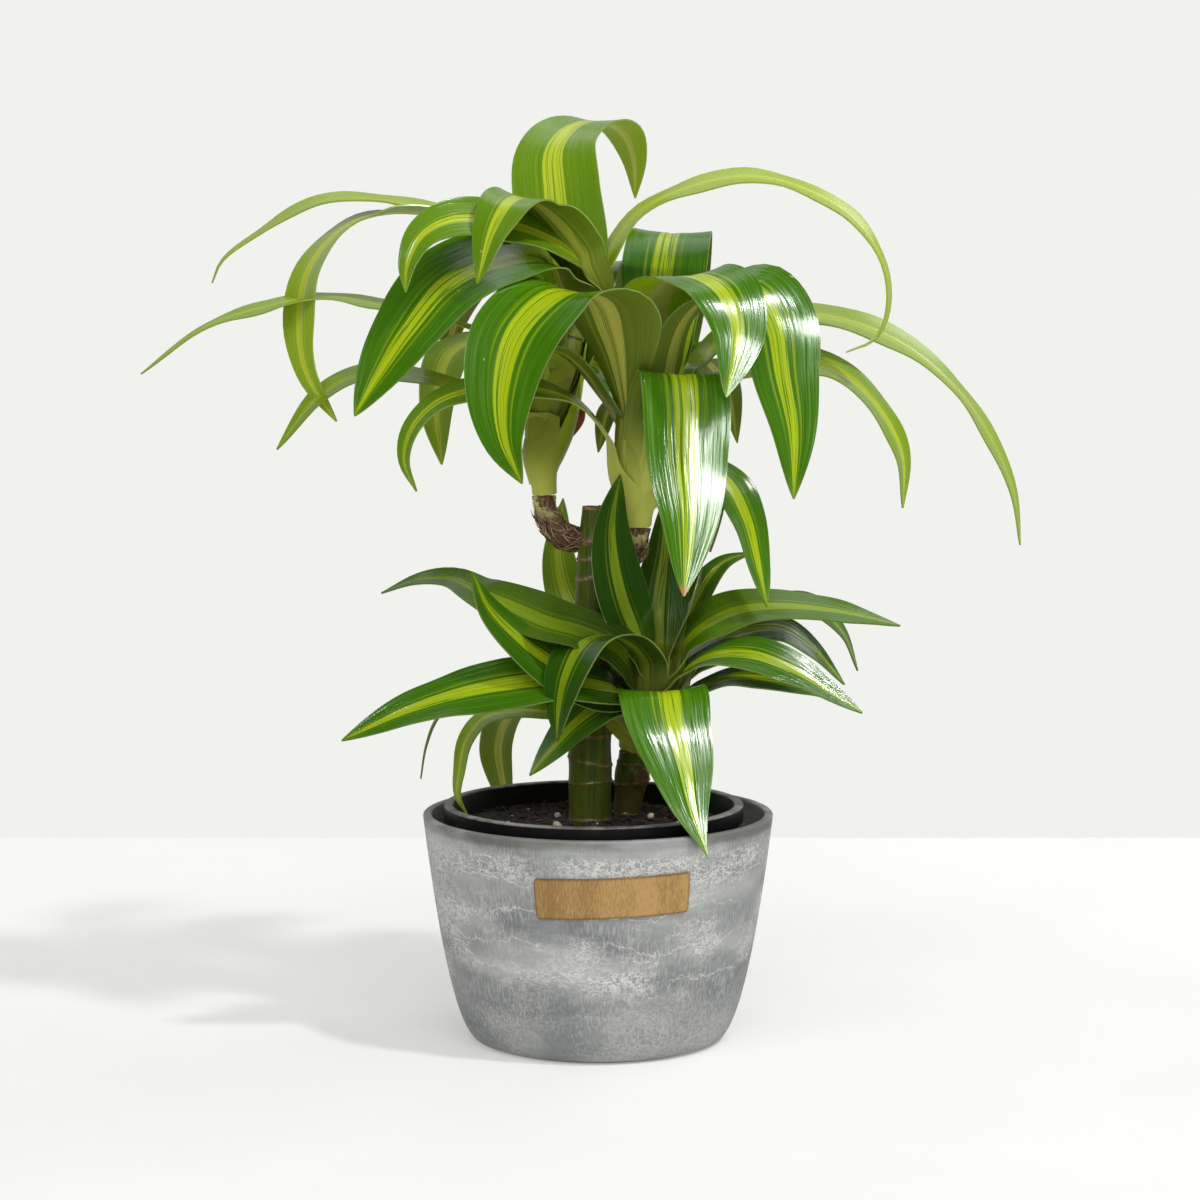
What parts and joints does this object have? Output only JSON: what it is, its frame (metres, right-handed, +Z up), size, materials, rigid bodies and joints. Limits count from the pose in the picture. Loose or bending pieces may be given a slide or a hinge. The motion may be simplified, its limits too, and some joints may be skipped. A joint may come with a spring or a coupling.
{
  "type": "potted dracaena",
  "caption": "Potted dracaena with tall and short green canes, striped arching leaves in three crowns, set in a nursery pot inside a round stone-look planter with a plain brass plate.",
  "frame": {"origin": "centre of the planter's flat underside", "axes": "+Z up, -Y towards the viewer of the picture and the brass plate, +X to the viewer's right"},
  "size_m": [0.4459, 0.2112, 0.4702],
  "materials": {
    "planter_stone": "grey cast stone look, pale wisps and fine vertical scratches, satin",
    "pot_plastic": "thin black moulded plastic, dull",
    "soil": "dark damp potting mix with bark, coir and white perlite bits",
    "brass": "antique brass brushed upright, bare",
    "cane": "smooth green cane with thin brown ring scars",
    "bark": "rough brown fibrous bark",
    "leaf": "glossy green blades with a lime and yellow middle stripe and pale thin edges"
  },
  "bodies": {
    "root": {"planter": "planter_stone", "nursery_pot": "pot_plastic", "soil": "soil", "brass_plate": "brass", "tall_cane": "cane", "short_cane": "cane", "left_collar": "bark", "right_collar": "bark", "left_shoot": "leaf", "right_shoot": "leaf", "lower_shoot": "leaf"}
  },
  "joints": []
}
